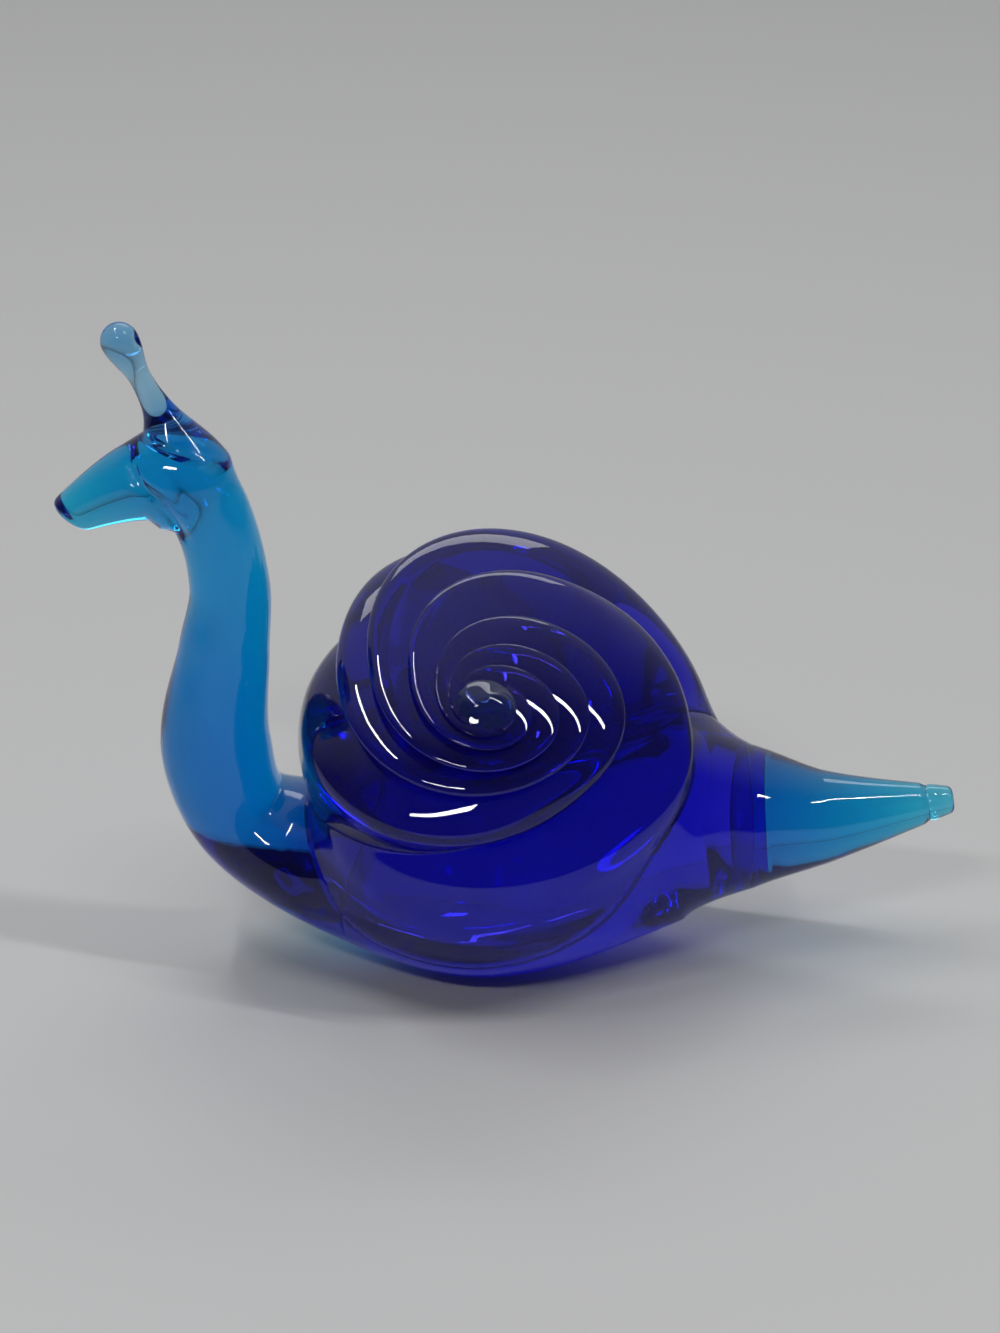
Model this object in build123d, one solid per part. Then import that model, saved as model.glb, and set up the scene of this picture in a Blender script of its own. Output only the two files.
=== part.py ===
from build123d import *
from bisect import bisect_right
from collections import namedtuple
from math import cos, degrees, hypot, log, pi, radians, sin
import os

# Sizes in millimetres: +X towards the tail, -Y the side that shows the swirl, +Z up

# Belly: the cobalt middle of the body, boat shaped, ground flat underneath
belly_width = 58.0
belly_depth = 34.0
belly_axis_height = 15.0
belly_widest_reach = 2.0
belly_front_reach = 28.0
belly_front_rise = 3.1
belly_front_width = 43.0
belly_front_depth = 26.9
belly_rear_reach = 30.0
belly_rear_rise = 10.9
belly_rear_width = 43.0
belly_rear_depth = 37.7

# Tail: drawn out backwards and sheared off square
tail_root_reach = 46.4
tail_middle_reach = 59.9
tail_reach = 83.3
tail_axis_height = 26.0
tail_end_rise = 3.4
tail_root_thickness = 26.3
tail_root_width = 28.9
tail_middle_thickness = 17.2
tail_end_thickness = 4.8
tail_oval = 1.08

# Neck: rises from the front of the belly and bends over into the head
neck_bend_reach = 46.5
neck_bend_height = 25.9
neck_bend_thickness = 19.6
neck_bend_width = 26.0
neck_foot_reach = 51.9
neck_foot_height = 40.5
neck_foot_thickness = 20.3
neck_middle_reach = 49.9
neck_middle_height = 59.0
neck_middle_thickness = 16.7
neck_waist_reach = 48.6
neck_waist_height = 71.1
neck_waist_thickness = 14.7
neck_oval = 1.1

# Head: a crown and a blunt snout that points forwards and down, cut off slanting
crown_reach = 57.0
crown_height = 90.4
crown_thickness = 17.4
nape_back = 5.3
nape_drop = 5.4
nape_thickness = 14.6
brow_forward = 7.1
brow_rise = 0.7
brow_thickness = 14.8
head_oval = 1.05
snout_forward = 23.3
snout_drop = 7.2
snout_thickness = 5.8
snout_oval = 1.15
snout_cut_forward = 19.4
snout_cut_drop = 6.4
snout_cut_heading = 231.0

# Seams: each aqua bit ends in a dome that is set into the belly
neck_seam_dome = 30.0
neck_seam_depth = 10.0
tail_seam_dome = 20.0
tail_seam_depth = 7.0

# Feeler: a pale drop drawn up out of the crown, narrow in the middle, with a round knob
feeler_root_radius = 5.7
feeler_waist_radius = 2.1
feeler_knob_radius = 3.5
feeler_length = 31.2
feeler_waist_share = 0.72
feeler_lean = 27.0
feeler_back = 2.8
feeler_rise = 1.9
feeler_steps = 12

# Shell: four strands twisted about an axis that points up and out of the near side
shell_radius = 41.0
shell_squash = 1.05
shell_reach = 2.2
shell_height = 39.9
shell_near_depth = 34.5
shell_far_depth = 24.1
shell_near_power = 1.68
shell_far_power = 2.04
shell_lean = 16.0
shell_tilt = 54.1
shell_near_end_radius = 6.0
shell_far_end_radius = 9.0

# Shell's end: it sagged forwards and down while it was hot
shell_sag_forward = 9.5
shell_sag_down = 13.1
shell_sag_power = 5.4

# Shell's rim: how far its outline strays from round, as shares of the radius
rim_oval = 0.021
rim_slant_oval = 0.041
rim_three_cornered = 0.006
rim_slant_three_cornered = -0.049

# Strands: turns in radians for each fold of the radius, edges in degrees, heights as shares of the radius
strand_count = 4
strand_clearance = 0.02
strand_valley = 0.76
strand_rim_valley = 0.79
strand_near_twist = 3.79
strand_far_twist = 1.21
strand_rim_twist = 1.03
strand_phase = 35.2
strand_edge_shift = [14.7, -15.3, -17.2, 20.2]
strand_edge_fade = 0.66
strand_crest = [0.95, 0.9, 1.0, 1.05]
near_steps = 20
far_steps = 8

# Nub: the pinched end of the twist
nub_radius = 5.6
nub_height = 2.6
nub_pinch_length = 6.4
nub_pinch_width = 2.6

# Places through which the body flows, from the tail's end to the snout
Place = namedtuple("Place", "along up thick wide")
tail_root = Place(tail_root_reach, tail_axis_height, tail_root_thickness, tail_root_width)
belly_front_height = belly_axis_height + belly_front_rise
belly_front = Place(-belly_front_reach, belly_front_height, belly_front_depth, belly_front_width)
snout_width = snout_thickness * snout_oval
brow_height = crown_height + brow_rise
body_places = [
    Place(tail_reach, tail_axis_height + tail_end_rise, tail_end_thickness, tail_end_thickness * tail_oval),
    Place(tail_middle_reach, tail_axis_height, tail_middle_thickness, tail_middle_thickness * tail_oval),
    tail_root,
    Place(belly_rear_reach, belly_axis_height + belly_rear_rise, belly_rear_depth, belly_rear_width),
    Place(-belly_widest_reach, belly_axis_height, belly_depth, belly_width),
    belly_front,
    Place(-neck_bend_reach, neck_bend_height, neck_bend_thickness, neck_bend_width),
    Place(-neck_foot_reach, neck_foot_height, neck_foot_thickness, neck_foot_thickness * neck_oval),
    Place(-neck_middle_reach, neck_middle_height, neck_middle_thickness, neck_middle_thickness * neck_oval),
    Place(-neck_waist_reach, neck_waist_height, neck_waist_thickness, neck_waist_thickness * neck_oval),
    Place(nape_back - crown_reach, crown_height - nape_drop, nape_thickness, nape_thickness * neck_oval),
    Place(-crown_reach, crown_height, crown_thickness, crown_thickness * head_oval),
    Place(-crown_reach - brow_forward, brow_height, brow_thickness, brow_thickness * head_oval),
    Place(-crown_reach - snout_forward, crown_height - snout_drop, snout_thickness, snout_width),
]
steps_between_places = 4

# Cutting blocks: one wider than the whole figure, one that spans the snout alone
wide_cut = 400.0
snout_cut_size = crown_thickness * 2


def body_knots():
    """Distance along the body's middle line at which each place lies."""
    knots = [0.0]
    for before, after in zip(body_places, body_places[1:]):
        knots.append(knots[-1] + hypot(after.along - before.along, after.up - before.up))
    return knots


def slope(values, knots, index):
    """Slope of a smooth curve at one of its knots."""
    before = max(index - 1, 0)
    after = min(index + 1, len(values) - 1)
    return (values[after] - values[before]) / (knots[after] - knots[before])


def flow(values, knots, distance):
    """Value and slope of the smooth curve through the values, at a distance."""
    index = min(max(bisect_right(knots, distance) - 1, 0), len(knots) - 2)
    span = knots[index + 1] - knots[index]
    t = (distance - knots[index]) / span
    start = slope(values, knots, index) * span
    stop = slope(values, knots, index + 1) * span
    rise = values[index + 1] - values[index]
    bend = start + stop - 2 * rise
    sway = 3 * rise - 2 * start - stop
    value = values[index] + start * t + sway * t**2 + bend * t**3
    return value, (start + 2 * sway * t + 3 * bend * t**2) / span


def body_section(distance):
    """Plane square to the body's middle line, with the thickness and width there."""
    knots = body_knots()
    channels = [flow(values, knots, distance) for values in zip(*body_places)]
    (along, run), (up, rise), (thick, _), (wide, _) = channels
    plane = Plane(origin=(along, 0, up), x_dir=(0, 1, 0), z_dir=(run, 0, rise))
    return plane, thick, wide


def make_body_blank():
    """The whole body as one form, ground flat below, before it is divided at the seams."""
    outlines = []
    knots = body_knots()
    for before, after in zip(knots, knots[1:]):
        for step in range(steps_between_places):
            plane, thick, wide = body_section(before + (after - before) * step / steps_between_places)
            outlines.append(plane * Ellipse(wide / 2, thick / 2))
    plane, thick, wide = body_section(knots[-1])
    outlines.append(plane * Ellipse(wide / 2, thick / 2))
    snout_cut = Plane(
        origin=(-crown_reach - snout_cut_forward, 0, crown_height - snout_cut_drop),
        x_dir=(0, 1, 0),
        z_dir=(cos(radians(snout_cut_heading)), 0, sin(radians(snout_cut_heading))),
    )
    return loft(outlines) - beyond(snout_cut, snout_cut_size) - beyond(-Plane.XY, wide_cut)


def beyond(plane, size):
    """A block that fills the side of a plane towards which its normal points."""
    return plane * Box(size, size, size, align=(Align.CENTER, Align.CENTER, Align.MIN))


def make_body_bits(blank):
    """The body divided into belly, neck with head, and tail, at two domed seams."""
    knots = body_knots()
    neck_seam, _, _ = body_section(knots[body_places.index(belly_front)])
    tail_seam, _, _ = body_section(knots[body_places.index(tail_root)])
    tail_seam = -tail_seam
    neck_dome = neck_seam.offset(neck_seam_dome - neck_seam_depth) * Sphere(neck_seam_dome)
    tail_dome = tail_seam.offset(tail_seam_dome - tail_seam_depth) * Sphere(tail_seam_dome)
    neck_side = beyond(neck_seam, wide_cut) + neck_dome
    tail_side = beyond(tail_seam, wide_cut) + tail_dome
    belly = blank - neck_side - tail_side
    return belly, blank & neck_side, blank & tail_side


def shell_axis():
    """Plane square to the shell's axis at its widest place."""
    lean = radians(shell_lean)
    tilt = radians(shell_tilt)
    return Plane(
        origin=(-shell_reach, 0, shell_height),
        x_dir=(cos(lean), sin(lean), 0),
        z_dir=(sin(lean) * cos(tilt), -cos(lean) * cos(tilt), sin(tilt)),
    )


Station = namedtuple("Station", "radius place turn rim sag")


def dome_station(share, depth, power, end_radius):
    """Radius and place along the axis of a dome, at a share of the way from rim to end."""
    ratio = (end_radius / shell_radius) ** (share**power)
    return shell_radius * ratio, depth * (1 - ratio**power) ** (1 / power)


def strand_stations():
    """Where the shell's sections lie, far end first, how far they turn and how much of the rim they show."""
    stations = []
    for step in range(far_steps, 0, -1):
        share = step / far_steps
        radius, place = dome_station(share, shell_far_depth, shell_far_power, shell_far_end_radius)
        turn = strand_rim_twist * place / shell_near_depth + strand_far_twist * log(shell_radius / radius)
        stations.append(Station(radius, -place, -turn, 1, 0))
    for step in range(near_steps + 1):
        share = step / near_steps
        radius, place = dome_station(share, shell_near_depth, shell_near_power, shell_near_end_radius)
        turn = strand_rim_twist * place / shell_near_depth + strand_near_twist * log(shell_radius / radius)
        sag = (place / shell_near_depth) ** shell_sag_power
        stations.append(Station(radius, place, turn, radius / shell_radius, sag))
    return stations


def shell_heart(station):
    """Middle of a section of the shell."""
    return Vector(-shell_sag_forward, -shell_sag_down) * station.sag


def shell_spot(station, share, way):
    """A place in a section of the shell, at a share of its radius and a bearing."""
    oval = rim_oval * cos(2 * way) + rim_slant_oval * sin(2 * way)
    corners = rim_three_cornered * cos(3 * way) + rim_slant_three_cornered * sin(3 * way)
    reach = station.radius * share * (1 + station.rim * (oval + corners))
    return shell_heart(station) + Vector(reach * cos(way), reach * sin(way) * shell_squash)


def strand_edge(number, station):
    """Bearing of the valley before a strand."""
    shift = strand_edge_shift[number % strand_count] * station.rim**strand_edge_fade
    return station.turn + radians(strand_phase + number * 360 / strand_count + shift)


def strand_outline(number, station):
    """One lobe of the shell's section, from its middle out to a valley, over the crest and back."""
    before = strand_edge(number, station)
    after = strand_edge(number + 1, station)
    valley = strand_valley + (strand_rim_valley - strand_valley) * station.rim**2
    crest = 1 + (strand_crest[number] - 1) * station.rim
    heart = shell_heart(station)
    first = shell_spot(station, valley, before)
    top = shell_spot(station, crest, (before + after) / 2)
    last = shell_spot(station, valley, after)
    first += (first - heart).normalized().rotate(Axis.Z, 90) * strand_clearance
    last += (last - heart).normalized().rotate(Axis.Z, -90) * strand_clearance
    heart += (top - heart).normalized() * strand_clearance * 2
    lobe = Line(heart, first) + ThreePointArc(first, top, last) + Line(last, heart)
    return shell_axis().offset(station.place) * make_face(lobe)


def make_strand(number, blank):
    """One strand of the twist, seated on the body."""
    return loft([strand_outline(number, station) for station in strand_stations()]) - blank


def make_nub():
    """The pinched end of the twist, which sits on the ends of the strands."""
    end = strand_stations()[-1]
    heart = shell_heart(end)
    seat = shell_axis().offset(end.place) * Pos(heart.X, heart.Y) * Rot(0, 0, degrees(end.turn))
    foot = seat * Circle(nub_radius)
    top = seat * Pos(0, 0, nub_height) * Ellipse(nub_pinch_length / 2, nub_pinch_width / 2)
    return loft([foot, top])


def blend(first, last, share):
    """Value between two others, level at both ends."""
    return first + (last - first) * (1 - cos(pi * share)) / 2


def feeler_radius(share):
    """Radius of the feeler at a share of the way from its root to the middle of the knob."""
    if share < feeler_waist_share:
        return blend(feeler_root_radius, feeler_waist_radius, share / feeler_waist_share)
    rest = (share - feeler_waist_share) / (1 - feeler_waist_share)
    return blend(feeler_waist_radius, feeler_knob_radius, rest)


def make_feeler(blank):
    """The feeler, turned about its axis from inside the crown, less what the head fills."""
    lean = radians(feeler_lean)
    root = Plane(
        origin=(feeler_back - crown_reach, 0, crown_height + feeler_rise),
        x_dir=(0, 1, 0),
        z_dir=(-sin(lean), 0, cos(lean)),
    )
    stem_length = feeler_length - feeler_knob_radius
    shares = [step / feeler_steps for step in range(feeler_steps + 1)]
    side = Spline(*[(feeler_radius(share), 0, share * stem_length) for share in shares])
    shoulder = feeler_knob_radius * sin(radians(45))
    top = (0, 0, feeler_length)
    cap = ThreePointArc(side @ 1, (shoulder, 0, stem_length + shoulder), top)
    outline = Line((0, 0, 0), side @ 0) + side + cap + Line(top, (0, 0, 0))
    return root * revolve(make_face(outline), Axis.Z) - blank


blank = make_body_blank()
belly, neck_and_head, tail = make_body_bits(blank)
pieces = {
    "belly": belly,
    "neck_and_head": neck_and_head,
    "tail": tail,
    "feeler": make_feeler(blank),
    "shell_nub": make_nub(),
}
for number in range(strand_count):
    pieces[f"shell_strand_{number + 1}"] = make_strand(number, blank)

# The origin lies in the middle of the ground flat under the belly
flat = belly.faces().sort_by(Axis.Z)[0].bounding_box()
to_origin = Pos(-flat.center().X, 0, 0)

os.makedirs("parts", exist_ok=True)
for name, piece in pieces.items():
    export_step(to_origin * piece, f"parts/{name}.step")
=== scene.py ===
from collections import namedtuple
from math import atan, cos, hypot, log, pi, radians, sin

import bmesh
import bpy
import numpy as np
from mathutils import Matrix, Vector
from mathutils.bvhtree import BVHTree


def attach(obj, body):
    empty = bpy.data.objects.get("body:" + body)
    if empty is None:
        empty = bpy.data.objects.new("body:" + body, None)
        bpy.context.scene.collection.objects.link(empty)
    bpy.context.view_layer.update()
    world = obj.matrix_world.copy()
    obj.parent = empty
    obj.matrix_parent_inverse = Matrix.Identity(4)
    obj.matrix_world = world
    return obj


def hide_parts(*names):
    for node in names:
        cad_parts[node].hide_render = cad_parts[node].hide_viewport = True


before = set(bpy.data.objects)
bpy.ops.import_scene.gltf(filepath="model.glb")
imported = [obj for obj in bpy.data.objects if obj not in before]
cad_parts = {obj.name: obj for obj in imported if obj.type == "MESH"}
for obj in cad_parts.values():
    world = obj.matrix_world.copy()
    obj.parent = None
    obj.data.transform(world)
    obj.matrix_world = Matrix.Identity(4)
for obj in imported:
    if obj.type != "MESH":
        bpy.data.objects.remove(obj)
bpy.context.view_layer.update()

# Sizes in millimetres, as in the solids, before the origin is set on the foot
millimetre = 0.001
foot_middle = -2.75558

# How far fused pieces reach into each other, so that no air lies between them
fuse = 0.12

# How far the skin stays inside the solids' skin
skin_inset = 0.08

# How near two skins come before they flow into each other
flow_reach = 6.0

# Edges sharper than this, in degrees, stay sharp
crease_angle = 38.0

# Body: oval sections from the tail's tip to the snout
Place = namedtuple("Place", "along up thick wide")
body_places = [
    Place(83.3, 29.4, 4.8, 5.184),
    Place(59.9, 26.0, 17.2, 18.576),
    Place(46.4, 26.0, 26.3, 28.9),
    Place(30.0, 25.9, 37.7, 43.0),
    Place(-2.0, 15.0, 34.0, 58.0),
    Place(-28.0, 18.1, 26.9, 43.0),
    Place(-46.5, 25.9, 19.6, 26.0),
    Place(-51.9, 40.5, 20.3, 22.33),
    Place(-49.9, 59.0, 16.7, 18.37),
    Place(-48.6, 71.1, 14.7, 16.17),
    Place(-51.7, 85.0, 14.6, 16.06),
    Place(-57.0, 90.4, 17.4, 18.27),
    Place(-64.1, 91.1, 14.8, 15.54),
    Place(-80.3, 83.2, 5.8, 6.67),
]
ground_softness = 0.01

# Domed seams between tail, belly and neck
tail_seam_place = 2
tail_seam_dome = 20.0
tail_seam_depth = 7.0
neck_seam_place = 5
neck_seam_dome = 30.0
neck_seam_depth = 10.0

# Fire-polished ends of the snout and the tail
brow_place = 12
snout_cut_at = (-76.4, 84.0)
snout_cut_heading = 231.0
snout_rounding = 1.7
snout_rounding_start = 1.15
tail_rounding = 1.0
tail_skin_start = 1.3
rim_share = 0.8

# Ring left by the shears round the tail's tip
tip_ring_at = 4.8
tip_ring_depth = 0.35
tip_ring_width = 0.6

# Fold in the glass on both sides of the head, as places along and up, and the dimple it ends in
fold_path = [(-55.8, 82.0), (-57.6, 86.5), (-60.3, 90.2), (-63.0, 92.5), (-65.3, 95.5)]
fold_depth = 0.8
fold_width = 1.0
dimple_depth = 0.9
dimple_width = 1.8

# Feeler, with the mark of the pincers on its knob
feeler_root = (-54.2, 92.3)
feeler_lean = 27.0
feeler_root_radius = 5.7
feeler_waist_radius = 2.1
feeler_knob_radius = 3.5
feeler_length = 31.2
feeler_waist_share = 0.72
mark_share = 0.97
mark_bearing = -25.0
mark_depth = 0.8
mark_reach = 1.1
mark_most = 0.5

# Shell: four strands twisted about an axis that points up and out of the near side
shell_radius = 41.0
shell_squash = 1.05
shell_reach = 2.2
shell_height = 39.9
shell_near_depth = 34.5
shell_far_depth = 24.1
shell_near_power = 1.68
shell_far_power = 2.04
shell_lean = 16.0
shell_tilt = 54.1
shell_near_end_radius = 6.0
shell_far_end_radius = 9.0

# Shell's end: it sagged forwards and down while it was hot
shell_sag_forward = 9.5
shell_sag_down = 13.1
shell_sag_power = 5.4

# Shell's rim: how far its outline strays from round, as shares of the radius
rim_oval = 0.021
rim_slant_oval = 0.041
rim_three_cornered = 0.006
rim_slant_three_cornered = -0.049

# Strands: turns in radians for each fold of the radius, edges in degrees, heights as shares of the radius
strand_count = 4
strand_valley = 0.76
strand_rim_valley = 0.79
strand_near_twist = 3.79
strand_far_twist = 1.21
strand_rim_twist = 1.03
strand_phase = 35.2
strand_edge_shift = [14.7, -15.3, -17.2, 20.2]
strand_edge_fade = 0.66
strand_crest = [0.95, 0.9, 1.0, 1.05]
strand_inset_share = 1 / 3
strand_end_share = 0.7
strand_heart_reach = 1.5

# Valleys: hollow fillets between strands, pressed deeper towards the middle of the swirl
valley_rounding = 0.25
valley_rounding_share = 0.006
valley_press = 0.12
least_rise = 1e-6

# Nub: the pinched and twisted end of the shell
nub_radius = 5.6
nub_height = 2.6
nub_pinch_length = 6.4
nub_pinch_width = 2.6
nub_twist = 1.6
nub_sink = 0.4

# Counts of mesh steps
around = 112
tail_steps = 140
tail_dome_steps = 14
belly_steps = 150
neck_dome_steps = 16
neck_steps = 230
blank_steps = 420
rim_steps = 6
end_steps = 5
strand_near_steps = 150
strand_far_steps = 50
arc_steps = 56
wall_steps = 8
nub_steps = 24
feeler_steps = 90
knob_steps = 24
halvings = 50
angles = np.arange(around) * 2 * pi / around


# Meshes

def unit(v):
    return v / np.linalg.norm(v, axis=-1, keepdims=True)


def mesh_object(name, points, faces):
    """A mesh from points in millimetres."""
    moved = (np.asarray(points, float) - (foot_middle, 0, 0)) * millimetre
    mesh = bpy.data.meshes.new(name)
    mesh.from_pydata([tuple(p) for p in moved], [], faces)
    mesh.update()
    piece = bpy.data.objects.new(name, mesh)
    bpy.context.scene.collection.objects.link(piece)
    return piece


def outward(piece):
    """Turn every face outwards and shade smooth, with creases kept sharp."""
    bm = bmesh.new()
    bm.from_mesh(piece.data)
    bmesh.ops.recalc_face_normals(bm, faces=bm.faces)
    bm.to_mesh(piece.data)
    bm.free()
    piece.data.shade_smooth()
    piece.data.set_sharp_from_angle(angle=radians(crease_angle))


def gathered(ring):
    """A ring of the same count, shrunk to the middle of another."""
    return np.repeat(ring.mean(axis=0)[None], len(ring), axis=0)


def closed_rings(name, rings):
    """A closed piece from rings whose first and last have shrunk to a point."""
    rings = np.array(rings)
    count = rings.shape[1]
    body = rings[1:-1].reshape(-1, 3)
    points = np.vstack([rings[0].mean(axis=0), body, rings[-1].mean(axis=0)])
    faces = []
    rows = rings.shape[0] - 2
    for j in range(count):
        k = (j + 1) % count
        faces.append((0, 1 + k, 1 + j))
        for i in range(rows - 1):
            a = 1 + i * count
            faces.append((a + j, a + k, a + count + k, a + count + j))
        a = 1 + (rows - 1) * count
        faces.append((a + j, a + k, len(points) - 1))
    piece = mesh_object(name, points, faces)
    outward(piece)
    return piece


def cut(piece, tool):
    """A piece less a tool, as a clean mesh."""
    modifier = piece.modifiers.new("cut", "BOOLEAN")
    modifier.operation = "DIFFERENCE"
    modifier.object = tool
    modifier.solver = "MANIFOLD"
    graph = bpy.context.evaluated_depsgraph_get()
    mesh = bpy.data.meshes.new_from_object(piece.evaluated_get(graph))
    piece.modifiers.clear()
    old = piece.data
    piece.data = mesh
    mesh.name = old.name
    bpy.data.meshes.remove(old)
    outward(piece)


def tree_of(pieces):
    """Search tree over the skins of some pieces."""
    points = []
    faces = []
    for piece in pieces:
        first = len(points)
        points += [vertex.co.copy() for vertex in piece.data.vertices]
        faces += [[first + index for index in face.vertices] for face in piece.data.polygons]
    return BVHTree.FromPolygons(points, faces)


def shift(piece, moves):
    """Move some points of a piece."""
    for index, move in moves:
        piece.data.vertices[index].co += move
    piece.data.update()


def flow_into(piece, tree, chosen):
    """Swell the chosen points of a piece where they come near to other skins."""
    reach = flow_reach * millimetre
    moves = []
    for vertex in piece.data.vertices:
        if chosen(vertex.index):
            _, _, _, gap = tree.find_nearest(vertex.co, reach)
            if gap is not None:
                moves.append((vertex.index, vertex.normal * ((reach - gap) ** 2 / (4 * reach))))
    shift(piece, moves)


# The body's flow

body_knots = [0.0]
for before, after in zip(body_places, body_places[1:]):
    body_knots.append(body_knots[-1] + hypot(after.along - before.along, after.up - before.up))
body_end = body_knots[-1]
body_channels = [np.array(values) for values in zip(*body_places)]
tail_seam_span = (body_knots[tail_seam_place - 1], body_knots[tail_seam_place + 1])
neck_seam_span = (body_knots[tail_seam_place + 1], body_knots[neck_seam_place + 1])


def flow(values, distance):
    """Value and slope of the smooth curve through the values, at distances."""
    knots = np.array(body_knots)
    last = len(knots) - 1
    index = np.clip(np.searchsorted(knots, distance, side="right") - 1, 0, last - 1)
    slopes = []
    for i in range(last + 1):
        low = max(i - 1, 0)
        high = min(i + 1, last)
        slopes.append((values[high] - values[low]) / (knots[high] - knots[low]))
    slopes = np.array(slopes)
    span = knots[index + 1] - knots[index]
    t = (distance - knots[index]) / span
    start = slopes[index] * span
    stop = slopes[index + 1] * span
    rise = values[index + 1] - values[index]
    bend = start + stop - 2 * rise
    sway = 3 * rise - 2 * start - stop
    value = values[index] + start * t + sway * t**2 + bend * t**3
    return value, (start + 2 * sway * t + 3 * bend * t**2) / span


def body_point(distance, angle, inset=0.0):
    """Points of the body's skin at distances along it and angles round it."""
    distance, angle = np.broadcast_arrays(np.asarray(distance, float), np.asarray(angle, float))
    (along, run), (up, rise), (thick, _), (wide, _) = [flow(v, distance) for v in body_channels]
    length = np.hypot(run, rise)
    side = (wide / 2 - skin_inset - inset) * np.cos(angle)
    out = (thick / 2 - skin_inset - inset) * np.sin(angle)
    return np.stack([along - rise / length * out, side, up + run / length * out], axis=-1)


def seam_dome(place, dome, depth, sign):
    """Centre, radius and pole direction of a seam's dome."""
    distance = np.array(body_knots[place])
    (along, run), (up, rise) = [flow(v, distance) for v in body_channels[:2]]
    way = unit(np.array([run, 0, rise])) * sign
    return np.array([along, 0, up]) + way * (dome - depth), dome, -way


neck_dome = seam_dome(neck_seam_place, neck_seam_dome, neck_seam_depth, 1)
tail_dome = seam_dome(tail_seam_place, tail_seam_dome, tail_seam_depth, -1)


def crossing(test, low, high):
    """Distance along the body, for each angle round it, at which a test changes sign."""
    low = np.full(around, float(low))
    high = np.full(around, float(high))
    sign = np.sign(test(body_point(low, angles)))
    for _ in range(halvings):
        middle = (low + high) / 2
        same = np.sign(test(body_point(middle, angles))) == sign
        low = np.where(same, middle, low)
        high = np.where(same, high, middle)
    return (low + high) / 2


def outside_dome(dome, grow=0.0):
    return lambda p: np.linalg.norm(p - dome[0], axis=-1) - dome[1] - grow


def dome_cap(rim, dome, grow, steps):
    """Rings from a rim to the pole on a dome."""
    centre, radius, pole = dome
    rings = []
    first = unit(rim - centre)
    for step in range(1, steps + 1):
        t = step / steps
        rings.append(centre + (radius + grow) * unit(first * (1 - t) + pole * t))
    return rings


def round_cap(rim, before, rounding):
    """Rings over a fire-polished rim: a rounded corner, then the flat end to its middle."""
    centre = rim.mean(axis=0)
    inward = centre - rim
    size = np.linalg.norm(inward, axis=-1, keepdims=True)
    start = rim + unit(before - rim) * rounding
    stop = rim + inward / size * np.minimum(rounding, size * rim_share)
    rings = []
    for step in range(rim_steps + 1):
        t = step / rim_steps
        rings.append(start * (1 - t) ** 2 + rim * 2 * t * (1 - t) + stop * t**2)
    for step in range(1, end_steps + 1):
        t = step / end_steps
        rings.append(stop * (1 - t) + centre * t)
    return rings


def ground(points):
    """The flat ground under the belly."""
    points = points.copy()
    z = points[..., 2]
    points[..., 2] = (z + np.sqrt(z * z + ground_softness)) / 2
    return points


def make_belly():
    start = crossing(outside_dome(tail_dome, -fuse), *tail_seam_span)
    stop = crossing(outside_dome(neck_dome, -fuse), *neck_seam_span)
    rings = dome_cap(body_point(start, angles), tail_dome, -fuse, tail_dome_steps)[::-1]
    for step in range(belly_steps + 1):
        rings.append(body_point(start + (stop - start) * step / belly_steps, angles))
    rings += dome_cap(body_point(stop, angles), neck_dome, -fuse, neck_dome_steps)
    return closed_rings("belly_glass", [ground(ring) for ring in rings])


def make_tail():
    stop = crossing(outside_dome(tail_dome), *tail_seam_span)
    rings = round_cap(body_point(0.0, angles), body_point(tail_rounding, angles), tail_rounding)[::-1]
    for step in range(tail_steps + 1):
        place = tail_skin_start + (stop - tail_skin_start) * step / tail_steps
        ring_depth = tip_ring_depth * np.exp(-((place - tip_ring_at) / tip_ring_width) ** 2)
        rings.append(body_point(place, angles, ring_depth))
    rings += dome_cap(body_point(stop, angles), tail_dome, 0, tail_dome_steps)
    return closed_rings("tail_glass", rings)


def make_neck():
    start = crossing(outside_dome(neck_dome), *neck_seam_span)
    heading = radians(snout_cut_heading)
    normal = np.array([cos(heading), 0, sin(heading)])
    at = np.array([snout_cut_at[0], 0, snout_cut_at[1]])
    stop = crossing(lambda p: (p - at) @ normal, body_knots[brow_place], body_end)
    rings = dome_cap(body_point(start, angles), neck_dome, 0, neck_dome_steps)[::-1]
    skin_stop = stop - snout_rounding * snout_rounding_start
    for step in range(neck_steps + 1):
        rings.append(body_point(start + (skin_stop - start) * step / neck_steps, angles))
    rings += round_cap(body_point(stop, angles), body_point(stop - snout_rounding, angles), snout_rounding)
    return closed_rings("neck_and_head_glass", [ground(ring) for ring in rings])


def make_blank(inset):
    """The whole body, drawn in by an inset, as a tool to seat other pieces on it."""
    rings = [gathered(body_point(0.0, angles))]
    for step in range(blank_steps + 1):
        rings.append(body_point(body_end * step / blank_steps, angles, inset))
    rings.append(gathered(body_point(body_end, angles)))
    return closed_rings("blank", rings)


def gap_to(here, first, last):
    """Distance from a place to the straight line between two others."""
    way = last - first
    share = np.clip((here - first) @ way / (way @ way), 0, 1)
    return np.linalg.norm(here - first - way * share)


def press_fold(piece, chosen):
    """Press the fold and its dimple into the skin of the head."""
    path = (np.array(fold_path) - (foot_middle, 0)) * millimetre
    ends = list(zip(path, path[1:]))
    moves = []
    for vertex in piece.data.vertices:
        if chosen(vertex.index):
            here = np.array([vertex.co.x, vertex.co.z])
            gap = min(gap_to(here, first, last) for first, last in ends) / millimetre
            dent = fold_depth * np.exp(-(gap / fold_width) ** 2)
            away = np.linalg.norm(here - path[-1]) / millimetre
            dent += dimple_depth * np.exp(-(away / dimple_width) ** 2)
            moves.append((vertex.index, vertex.normal * (-dent * abs(vertex.normal.y) * millimetre)))
    shift(piece, moves)


# The shell

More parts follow.
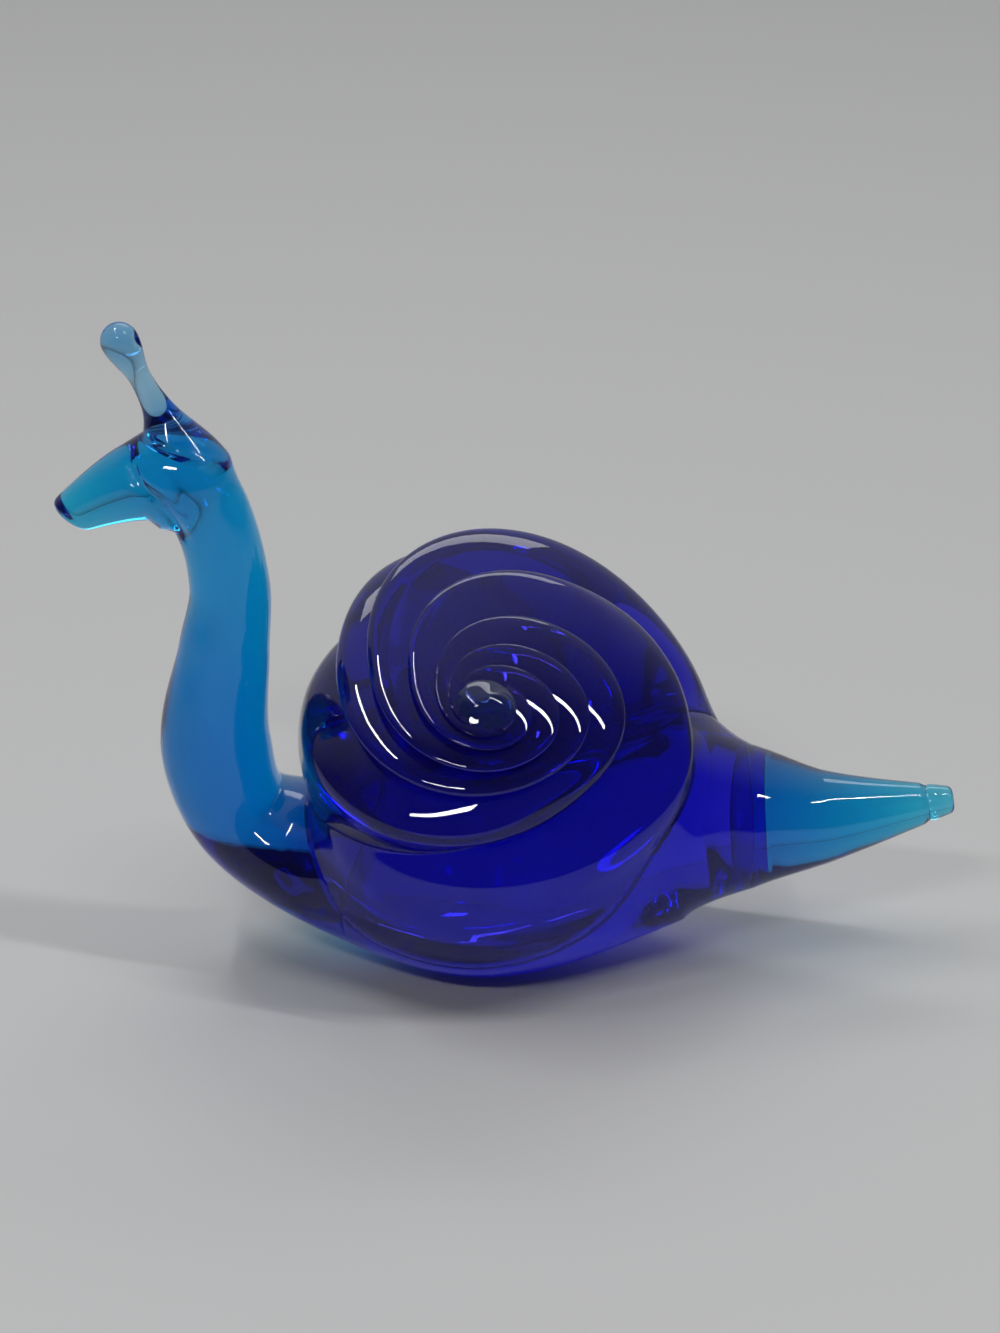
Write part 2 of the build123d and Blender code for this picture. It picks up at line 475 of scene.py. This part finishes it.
def shell_axes():
    lean = radians(shell_lean)
    tilt = radians(shell_tilt)
    z = np.array([sin(lean) * cos(tilt), -cos(lean) * cos(tilt), sin(tilt)])
    x = np.array([cos(lean), sin(lean), 0.0])
    return np.array([-shell_reach, 0, shell_height]), x, np.cross(z, x), z


def dome_station(share, depth, power, end_radius):
    ratio = (end_radius / shell_radius) ** (share**power)
    return shell_radius * ratio, depth * (1 - ratio**power) ** (1 / power)


def strand_stations():
    """Radius, place on the axis, turn, fade to the middle and sag of each section."""
    stations = []
    for step in range(strand_far_steps, 0, -1):
        share = step / strand_far_steps
        radius, place = dome_station(share, shell_far_depth, shell_far_power, shell_far_end_radius)
        turn = strand_rim_twist * place / shell_near_depth + strand_far_twist * log(shell_radius / radius)
        stations.append((radius, -place, -turn, 1.0, 0.0))
    for step in range(strand_near_steps + 1):
        share = step / strand_near_steps
        radius, place = dome_station(share, shell_near_depth, shell_near_power, shell_near_end_radius)
        turn = strand_rim_twist * place / shell_near_depth + strand_near_twist * log(shell_radius / radius)
        sag = (place / shell_near_depth) ** shell_sag_power
        stations.append((radius, place, turn, radius / shell_radius, sag))
    return stations


def strand_edge(number, turn, fade):
    """Bearing of the valley before a strand."""
    shifted = strand_edge_shift[number % strand_count] * fade**strand_edge_fade
    return turn + radians(strand_phase + number * 360 / strand_count + shifted)


def shell_spot(radius, share, way, fade, sag):
    """A place in a section of the shell."""
    oval = rim_oval * cos(2 * way) + rim_slant_oval * sin(2 * way)
    corners = rim_three_cornered * cos(3 * way) + rim_slant_three_cornered * sin(3 * way)
    reach = radius * share * (1 + fade * (oval + corners))
    return np.array([
        reach * cos(way) - shell_sag_forward * sag,
        reach * sin(way) * shell_squash - shell_sag_down * sag,
    ])


def arc_through(a, b, c):
    """Points of the circular arc from a over b to c, closer together at its ends."""
    d = 2 * (a[0] * (b[1] - c[1]) + b[0] * (c[1] - a[1]) + c[0] * (a[1] - b[1]))
    ux = ((a @ a) * (b[1] - c[1]) + (b @ b) * (c[1] - a[1]) + (c @ c) * (a[1] - b[1])) / d
    uy = ((a @ a) * (c[0] - b[0]) + (b @ b) * (a[0] - c[0]) + (c @ c) * (b[0] - a[0])) / d
    centre = np.array([ux, uy])
    radius = np.linalg.norm(a - centre)
    first = np.arctan2(*(a - centre)[::-1])
    last = np.arctan2(*(c - centre)[::-1])
    last = first + (last - first) % (2 * pi)
    t = first + (last - first) * (1 - np.cos(pi * np.arange(arc_steps + 1) / arc_steps)) / 2
    return centre + radius * np.stack([np.cos(t), np.sin(t)], axis=-1)


def round_valleys(arc, heart, rounding):
    """A lobe whose ends are rounded out, so that no valley between lobes is sharp."""
    away = arc - heart
    reach = np.linalg.norm(away, axis=-1)
    valley = np.linspace(reach[0], reach[-1], len(arc))
    rise = np.maximum(reach - valley, 0)
    share = rise / max(rise.max(), least_rise)
    lift = (np.hypot(rise, rounding) - rise) * (1 - share) ** 2
    return heart + away * ((reach + lift - skin_inset * strand_inset_share) / reach)[:, None]


def strand_outline(number, radius, turn, fade, sag):
    """Closed outline of a strand in one section: its outer arc, then the walls to the heart and back."""
    before = strand_edge(number, turn, fade)
    after = strand_edge(number + 1, turn, fade)
    valley = strand_valley + (strand_rim_valley - strand_valley) * fade**2 - valley_press * (1 - fade)
    crest = 1 + (strand_crest[number] - 1) * fade
    heart = shell_spot(0, 0, 0, fade, sag)
    first = shell_spot(radius, valley, before, fade, sag)
    last = shell_spot(radius, valley, after, fade, sag)
    middle = shell_spot(radius, crest, (before + after) / 2, fade, sag)
    rounding = valley_rounding + radius * valley_rounding_share
    outline = list(round_valleys(arc_through(first, middle, last), heart, rounding))
    outline[0] = outline[0] + unit(np.array([(first - heart)[1], -(first - heart)[0]])) * fuse
    outline[-1] = outline[-1] + unit(np.array([-(last - heart)[1], (last - heart)[0]])) * fuse
    apex = heart - unit(middle - heart) * fuse * strand_heart_reach
    for step in range(1, wall_steps + 1):
        outline.append(outline[arc_steps] * (1 - step / wall_steps) + apex * step / wall_steps)
    for step in range(1, wall_steps):
        outline.append(apex * (1 - step / wall_steps) + outline[0] * step / wall_steps)
    return np.array(outline)


def make_strand(number):
    origin, x, y, z = shell_axes()
    rings = []
    for radius, place, turn, fade, sag in strand_stations():
        flat = strand_outline(number, radius, turn, fade, sag)
        rings.append(origin + z * place + flat[:, :1] * x + flat[:, 1:] * y)
    inner = arc_steps + wall_steps
    ends = []
    for ring in (rings[0], rings[-1]):
        end = ring[inner] * strand_end_share + ring.mean(axis=0) * (1 - strand_end_share)
        ends.append(np.repeat(end[None], len(ring), axis=0))
    return closed_rings(f"shell_strand_{number + 1}_glass", [ends[0]] + rings + [ends[1]])


def make_nub():
    origin, x, y, z = shell_axes()
    _, place, turn, _, sag = strand_stations()[-1]
    heart = shell_spot(0, 0, 0, 0, sag)
    c = np.cos(angles)
    s = np.sin(angles)
    rings = []
    for step in range(nub_steps + 1):
        t = step / nub_steps
        bulge = np.sqrt(max(1 - t**3, 0))
        long = (nub_radius * (1 - t) + nub_pinch_length / 2 * t) * bulge
        short = (nub_radius * (1 - t) + nub_pinch_width / 2 * t) * bulge
        way = turn + nub_twist * t
        px = long * c * cos(way) - short * s * sin(way)
        py = long * c * sin(way) + short * s * cos(way)
        rise = place - nub_sink + nub_height * t
        rings.append(origin + z * rise + (px[:, None] + heart[0]) * x + (py[:, None] + heart[1]) * y)
    return closed_rings("shell_nub_glass", [gathered(rings[0])] + rings[:-1] + [gathered(rings[-1])])


# The feeler

def blend(first, last, share):
    """Values between two others, level at both ends."""
    return first + (last - first) * (1 - np.cos(pi * share)) / 2


def feeler_profile():
    """Heights and radii of the feeler from its root to the top of the knob."""
    stem = feeler_length - feeler_knob_radius
    share = np.arange(feeler_steps) / feeler_steps
    rising = blend(feeler_root_radius, feeler_waist_radius, share / feeler_waist_share)
    rest = (share - feeler_waist_share) / (1 - feeler_waist_share)
    widening = blend(feeler_waist_radius, feeler_knob_radius, rest)
    radii = np.where(share < feeler_waist_share, rising, widening)
    cap = np.linspace(0, pi / 2, knob_steps)
    heights = np.concatenate([share * stem, stem + feeler_knob_radius * np.sin(cap)])
    return heights, np.concatenate([radii, feeler_knob_radius * np.cos(cap)])


def make_feeler():
    lean = radians(feeler_lean)
    z = np.array([-sin(lean), 0, cos(lean)])
    x = np.array([cos(lean), 0, sin(lean)])
    y = np.array([0, 1.0, 0])
    root = np.array([feeler_root[0], 0, feeler_root[1]])
    out = np.cos(angles)[:, None] * x + np.sin(angles)[:, None] * y
    mark_height = (feeler_length - feeler_knob_radius) * mark_share
    turn = (angles - radians(mark_bearing) + pi) % (2 * pi) - pi
    rings = []
    for h, r in zip(*feeler_profile()):
        dent = mark_depth * np.exp(-((h - mark_height) / mark_reach) ** 2 - (turn * r / mark_reach) ** 2)
        reach = np.maximum(r - skin_inset, 0) - np.minimum(dent, r * mark_most)
        rings.append(root + z * (h - skin_inset) + reach[:, None] * out)
    return closed_rings("feeler_glass", [gathered(rings[0])] + rings)


# Glass

streak_scale = 45
streak_detail = 5
streak_swirl = 1.2
streak_span = (0.35, 0.7)
ripple_scale = 70
ripple_detail = 2
ripple_height = 0.004
haze_span = (0.0, 0.02)
glass_index = 1.5


def glass(name, tint, paler, absorb, density, wave=0.03, clearness=1.0):
    """Fire-polished coloured glass: colour by absorption and tint, faint cords and ripples on the skin."""
    material = bpy.data.materials.new(name)
    material.use_nodes = True
    nodes = material.node_tree.nodes
    links = material.node_tree.links
    shader = nodes["Principled BSDF"]
    where = nodes.new("ShaderNodeTexCoord")

    streak = nodes.new("ShaderNodeTexNoise")
    streak.inputs["Scale"].default_value = streak_scale
    streak.inputs["Detail"].default_value = streak_detail
    streak.inputs["Distortion"].default_value = streak_swirl
    links.new(where.outputs["Object"], streak.inputs["Vector"])
    ramp = nodes.new("ShaderNodeValToRGB")
    for element, position, colour in zip(ramp.color_ramp.elements, streak_span, (tint, paler)):
        element.position = position
        element.color = (*colour, 1)
    links.new(streak.outputs["Fac"], ramp.inputs["Fac"])
    links.new(ramp.outputs["Color"], shader.inputs["Base Color"])

    haze = nodes.new("ShaderNodeMapRange")
    haze.inputs["To Min"].default_value = haze_span[0]
    haze.inputs["To Max"].default_value = haze_span[1]
    links.new(streak.outputs["Fac"], haze.inputs["Value"])
    links.new(haze.outputs["Result"], shader.inputs["Roughness"])

    ripple = nodes.new("ShaderNodeTexNoise")
    ripple.inputs["Scale"].default_value = ripple_scale
    ripple.inputs["Detail"].default_value = ripple_detail
    links.new(where.outputs["Object"], ripple.inputs["Vector"])
    bump = nodes.new("ShaderNodeBump")
    bump.inputs["Strength"].default_value = wave
    bump.inputs["Distance"].default_value = ripple_height
    links.new(ripple.outputs["Fac"], bump.inputs["Height"])
    links.new(bump.outputs["Normal"], shader.inputs["Normal"])

    shader.inputs["Transmission Weight"].default_value = clearness
    shader.inputs["IOR"].default_value = glass_index
    volume = nodes.new("ShaderNodeVolumeAbsorption")
    volume.inputs["Color"].default_value = (*absorb, 1)
    volume.inputs["Density"].default_value = density
    links.new(volume.outputs["Volume"], nodes["Material Output"].inputs["Volume"])
    return material


cobalt = glass(
    "cobalt_glass", tint=(0.06, 0.045, 0.92), paler=(0.10, 0.08, 0.98),
    absorb=(0.10, 0.10, 0.95), density=60, clearness=0.96,
)
cobalt_shell = glass(
    "cobalt_shell_glass", tint=(0.045, 0.036, 0.64), paler=(0.08, 0.065, 0.76),
    absorb=(0.10, 0.10, 0.95), density=60, wave=0.015, clearness=0.94,
)
aqua = glass(
    "aqua_glass", tint=(0.80, 0.93, 0.98), paler=(0.90, 0.98, 0.99),
    absorb=(0.05, 0.85, 0.975), density=400,
)
aqua_tail = glass(
    "aqua_tail_glass", tint=(0.80, 0.93, 0.98), paler=(0.90, 0.98, 0.99),
    absorb=(0.05, 0.85, 0.975), density=370,
)
pale = glass(
    "pale_aqua_glass", tint=(0.90, 0.97, 0.98), paler=(0.96, 0.99, 0.99),
    absorb=(0.13, 0.66, 0.93), density=260,
)
pale_nub = glass(
    "pale_nub_glass", tint=(0.08, 0.15, 0.72), paler=(0.2, 0.4, 0.85),
    absorb=(0.3, 0.45, 0.93), density=40, wave=0.08, clearness=0.93,
)


# The pieces

def finish_piece(piece, material, node):
    piece.data.materials.clear()
    piece.data.materials.append(material)
    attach(piece, "root")
    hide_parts(node)


def on_belly_skin(index):
    return 1 + (tail_dome_steps - 1) * around <= index < 1 + (tail_dome_steps + belly_steps) * around


def on_neck_skin(index):
    return 1 + neck_dome_steps * around <= index < 1 + (neck_dome_steps + neck_steps) * around


def on_strand_skin(index):
    return (index - 1) % (arc_steps + 2 * wall_steps) <= arc_steps


blank = make_blank(fuse)
belly = make_belly()
neck = make_neck()
tail = make_tail()
strands = [make_strand(number) for number in range(strand_count)]
feeler = make_feeler()
shell_tree = tree_of(strands)
body_tree = tree_of([blank])
flow_into(belly, shell_tree, on_belly_skin)
flow_into(neck, shell_tree, on_neck_skin)
flow_into(neck, tree_of([feeler]), on_neck_skin)
press_fold(neck, on_neck_skin)
flow_into(feeler, body_tree, lambda index: True)
cut(feeler, blank)
for strand in strands:
    flow_into(strand, body_tree, on_strand_skin)
    cut(strand, blank)

finish_piece(belly, cobalt, "belly")
finish_piece(neck, aqua, "neck_and_head")
finish_piece(tail, aqua_tail, "tail")
finish_piece(feeler, pale, "feeler")
finish_piece(make_nub(), pale_nub, "shell_nub")
for number, strand in enumerate(strands):
    finish_piece(strand, cobalt_shell, f"shell_strand_{number + 1}")
bpy.data.objects.remove(blank)


# Floor, with a faint glow that stands for the light fallen through the glass, in metres

floor_size = 8
floor_drop = 0.0002
floor_colour = (0.62, 0.62, 0.62)
floor_roughness = 0.6
# Painted light under the body: where the floor glow lies, how far it reaches, how strong it glows, and its
# colours
under_middle = (0.0, 0.005, 0.0)
under_reach = (0.060, 0.024, 1.0)
under_level = 0.5
under_span = (0.25, 0.45)
under_neck_light = (0.10, 0.45, 0.60)
under_belly_light = (0.10, 0.10, 0.75)


def floor_material():
    """A pale floor, with a painted glow of coloured light under the body that stands for light fallen
    through the glass.
    """
    material = bpy.data.materials.new("pale_floor")
    material.use_nodes = True
    nodes = material.node_tree.nodes
    links = material.node_tree.links
    shader = nodes["Principled BSDF"]
    shader.inputs["Base Color"].default_value = (*floor_colour, 1)
    shader.inputs["Roughness"].default_value = floor_roughness
    where = nodes.new("ShaderNodeTexCoord")
    patch = nodes.new("ShaderNodeMapping")
    patch.vector_type = "TEXTURE"
    patch.inputs["Location"].default_value = under_middle
    patch.inputs["Scale"].default_value = under_reach
    links.new(where.outputs["Object"], patch.inputs["Vector"])

    # Painted light: the glow runs from aqua under the neck to blue under the belly
    split = nodes.new("ShaderNodeSeparateXYZ")
    links.new(patch.outputs["Vector"], split.inputs["Vector"])
    span = nodes.new("ShaderNodeMapRange")
    span.inputs["From Min"].default_value = -1
    links.new(split.outputs["X"], span.inputs["Value"])
    ramp = nodes.new("ShaderNodeValToRGB")
    lights = (under_neck_light, under_belly_light)
    for element, position, colour in zip(ramp.color_ramp.elements, under_span, lights):
        element.position = position
        element.color = (*colour, 1)
    links.new(span.outputs["Result"], ramp.inputs["Fac"])
    links.new(ramp.outputs["Color"], shader.inputs["Emission Color"])

    # Painted light: the glow is strongest in the middle of the patch and fades out to its edge
    ball = nodes.new("ShaderNodeTexGradient")
    ball.gradient_type = "QUADRATIC_SPHERE"
    links.new(patch.outputs["Vector"], ball.inputs["Vector"])
    level = nodes.new("ShaderNodeMath")
    level.operation = "MULTIPLY"
    level.inputs[1].default_value = under_level
    links.new(ball.outputs["Fac"], level.inputs[0])
    links.new(level.outputs["Value"], shader.inputs["Emission Strength"])
    return material


bpy.ops.mesh.primitive_plane_add(size=floor_size, location=(0, 0, -floor_drop))
floor = bpy.context.object
floor.name = "floor"
floor.data.materials.append(floor_material())


# Light, in metres and watts

Lamp = namedtuple("Lamp", "name place aim wide deep power")
lamps = [
    Lamp("front_strip", (-0.3, -1.0, 0.85), (0, 0, 0.05), 0.4, 0.07, 3.0),
    Lamp("left_strip", (-0.5, 0.0, 1.35), (-0.5, 0.0, 0), 0.05, 0.9, 5.0),
    Lamp("right_strip", (0.75, -0.25, 1.25), (0.4, -0.1, 0), 0.05, 0.8, 4.5),
    Lamp("back_panel", (0.1, 1.2, 1.2), (0, 0, 0.05), 1.2, 0.3, 3.0),
]
sky_way = (-0.1, 0.8, 0.6)
sky_span = (0.2, 0.95)
sky_levels = (0.06, 0.45)
sky_colour = (0.97, 0.98, 1.0)


def hang(lamp):
    """A flat lamp, turned to what it aims at."""
    data = bpy.data.lights.new(lamp.name, "AREA")
    data.shape = "RECTANGLE"
    data.size = lamp.wide
    data.size_y = lamp.deep
    data.energy = lamp.power
    hung = bpy.data.objects.new(lamp.name, data)
    bpy.context.scene.collection.objects.link(hung)
    hung.location = lamp.place
    hung.rotation_euler = (Vector(lamp.aim) - Vector(lamp.place)).to_track_quat("-Z", "Y").to_euler()


def soft_sky():
    """A studio that is brighter at the back and falls off softly to the front."""
    world = bpy.data.worlds.new("studio")
    bpy.context.scene.world = world
    world.use_nodes = True
    nodes = world.node_tree.nodes
    links = world.node_tree.links
    where = nodes.new("ShaderNodeTexCoord")
    towards = nodes.new("ShaderNodeVectorMath")
    towards.operation = "DOT_PRODUCT"
    towards.inputs[1].default_value = Vector(sky_way).normalized()
    links.new(where.outputs["Generated"], towards.inputs[0])
    fall = nodes.new("ShaderNodeMapRange")
    fall.interpolation_type = "SMOOTHSTEP"
    fall.inputs["From Min"].default_value = sky_span[0]
    fall.inputs["From Max"].default_value = sky_span[1]
    fall.inputs["To Min"].default_value = sky_levels[0]
    fall.inputs["To Max"].default_value = sky_levels[1]
    links.new(towards.outputs["Value"], fall.inputs["Value"])
    links.new(fall.outputs["Result"], nodes["Background"].inputs["Strength"])
    nodes["Background"].inputs["Color"].default_value = (*sky_colour, 1)


for lamp in lamps:
    hang(lamp)
soft_sky()


# Camera, at the photograph's viewing angle

target_height = 0.050
target = Vector((-foot_middle * millimetre, 0, target_height))
elevation = radians(22)
distance = 0.700
focal_pixels = 3850.0
photo_width = 1000.0
target_drop = 28.5
sensor_width = 36
farthest = 50
camera_data = bpy.data.cameras.new("camera")
camera_data.sensor_fit = "HORIZONTAL"
camera_data.sensor_width = sensor_width
camera_data.lens = sensor_width * focal_pixels / photo_width
camera_data.clip_end = farthest
camera = bpy.data.objects.new("camera", camera_data)
bpy.context.scene.collection.objects.link(camera)
camera.location = target + Vector((0, -cos(elevation), sin(elevation))) * distance
camera.rotation_euler = (pi / 2 - elevation + atan(target_drop / focal_pixels), 0, 0)
bpy.context.scene.camera = camera
bpy.context.scene.view_settings.view_transform = "Standard"

# Light goes through many walls of glass before it comes out again
bpy.context.scene.cycles.max_bounces = 32
bpy.context.scene.cycles.transmission_bounces = 32
bpy.context.scene.cycles.glossy_bounces = 16
